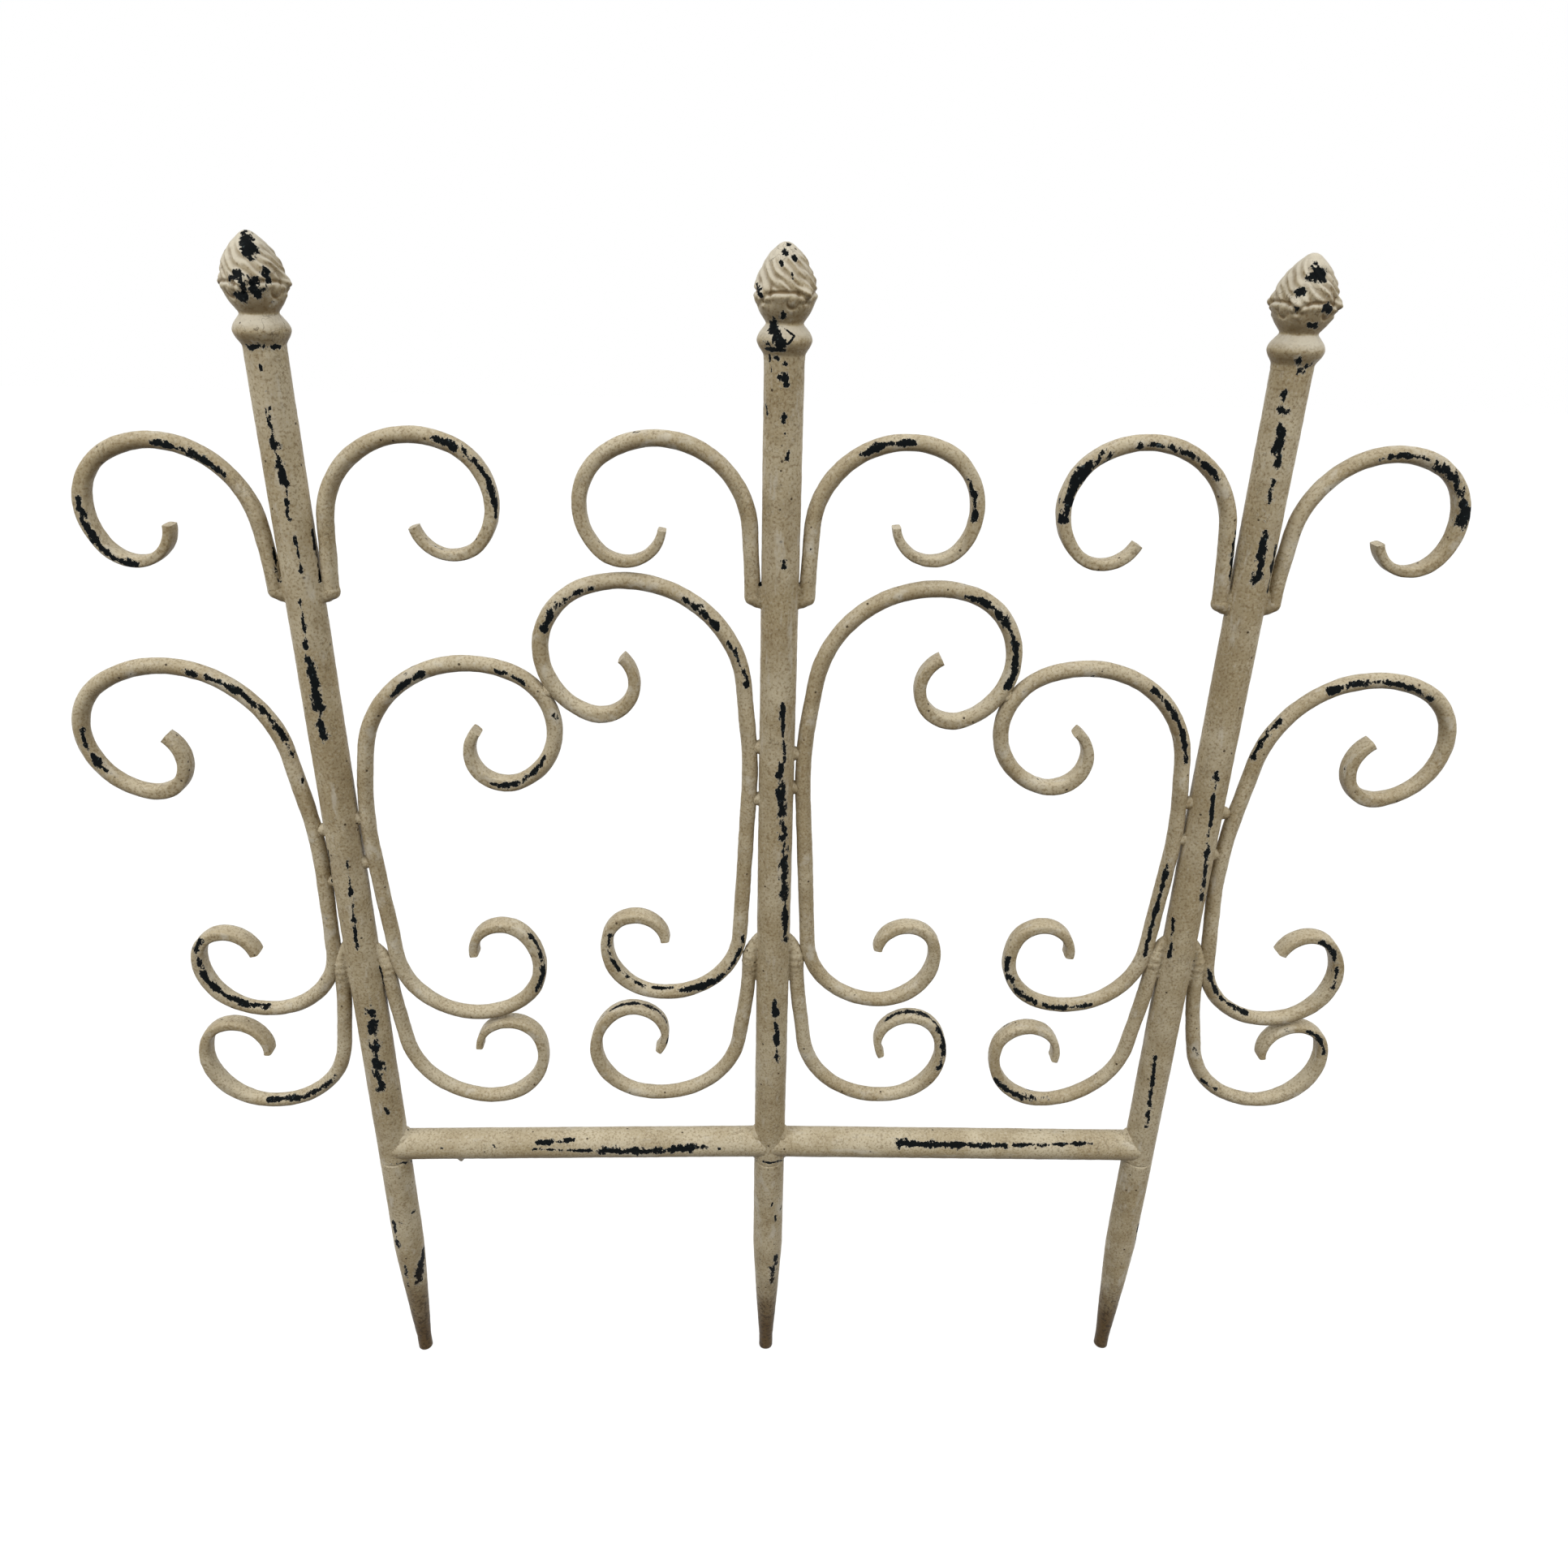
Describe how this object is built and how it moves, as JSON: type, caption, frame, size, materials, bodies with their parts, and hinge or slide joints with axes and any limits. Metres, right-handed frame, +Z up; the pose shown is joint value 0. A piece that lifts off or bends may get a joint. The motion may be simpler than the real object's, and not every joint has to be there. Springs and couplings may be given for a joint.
{
  "type": "garden fence panel",
  "caption": "Short scrolled steel border fence panel on pointed stakes, with tube posts, a bottom rail, forged scrolls and pinecone finials.",
  "frame": {"origin": "centre of the flat end of the middle stake", "axes": "+X along the panel to the right as seen from the front, +Y away from the front, +Z up"},
  "size_m": [0.6181, 0.0288, 0.595],
  "materials": {
    "post_paint": "worn cream paint with a brown wash and long black chips",
    "rail_paint": "worn cream paint, browner than the posts, with long black chips",
    "stake_paint": "worn cream paint, rusty at the point",
    "finial_paint": "cream paint over cast scales, chipped black on the high spots",
    "scroll_paint": "cream paint with a fine orange peel, chipped black along the edges",
    "weld_paint": "thick cream paint over weld beads, rusty brown in the corners"
  },
  "bodies": {
    "root": {"finial_left": "finial_paint", "finial_middle": "finial_paint", "finial_right": "finial_paint", "lower_scroll_left_inner": "scroll_paint", "lower_scroll_left_outer": "scroll_paint", "lower_scroll_middle_left": "scroll_paint", "lower_scroll_middle_right": "scroll_paint", "lower_scroll_right_inner": "scroll_paint", "lower_scroll_right_outer": "scroll_paint", "post_left": "post_paint", "post_middle": "post_paint", "post_right": "post_paint", "rail_left": "rail_paint", "rail_right": "rail_paint", "rail_welds_left": "weld_paint", "rail_welds_middle_left": "weld_paint", "rail_welds_middle_right": "weld_paint", "rail_welds_right": "weld_paint", "s_scroll_left_inner": "scroll_paint", "s_scroll_left_outer": "scroll_paint", "s_scroll_middle_left": "scroll_paint", "s_scroll_middle_right": "scroll_paint", "s_scroll_right_inner": "scroll_paint", "s_scroll_right_outer": "scroll_paint", "scroll_welds_left_inner": "weld_paint", "scroll_welds_left_outer": "weld_paint", "scroll_welds_middle_left": "weld_paint", "scroll_welds_middle_right": "weld_paint", "scroll_welds_right_inner": "weld_paint", "scroll_welds_right_outer": "weld_paint", "stake_left": "stake_paint", "stake_middle": "stake_paint", "stake_right": "stake_paint", "tie_weld_left": "weld_paint", "tie_weld_right": "weld_paint", "upper_scroll_left_inner": "scroll_paint", "upper_scroll_left_outer": "scroll_paint", "upper_scroll_middle_left": "scroll_paint", "upper_scroll_middle_right": "scroll_paint", "upper_scroll_right_inner": "scroll_paint", "upper_scroll_right_outer": "scroll_paint"}
  },
  "joints": []
}
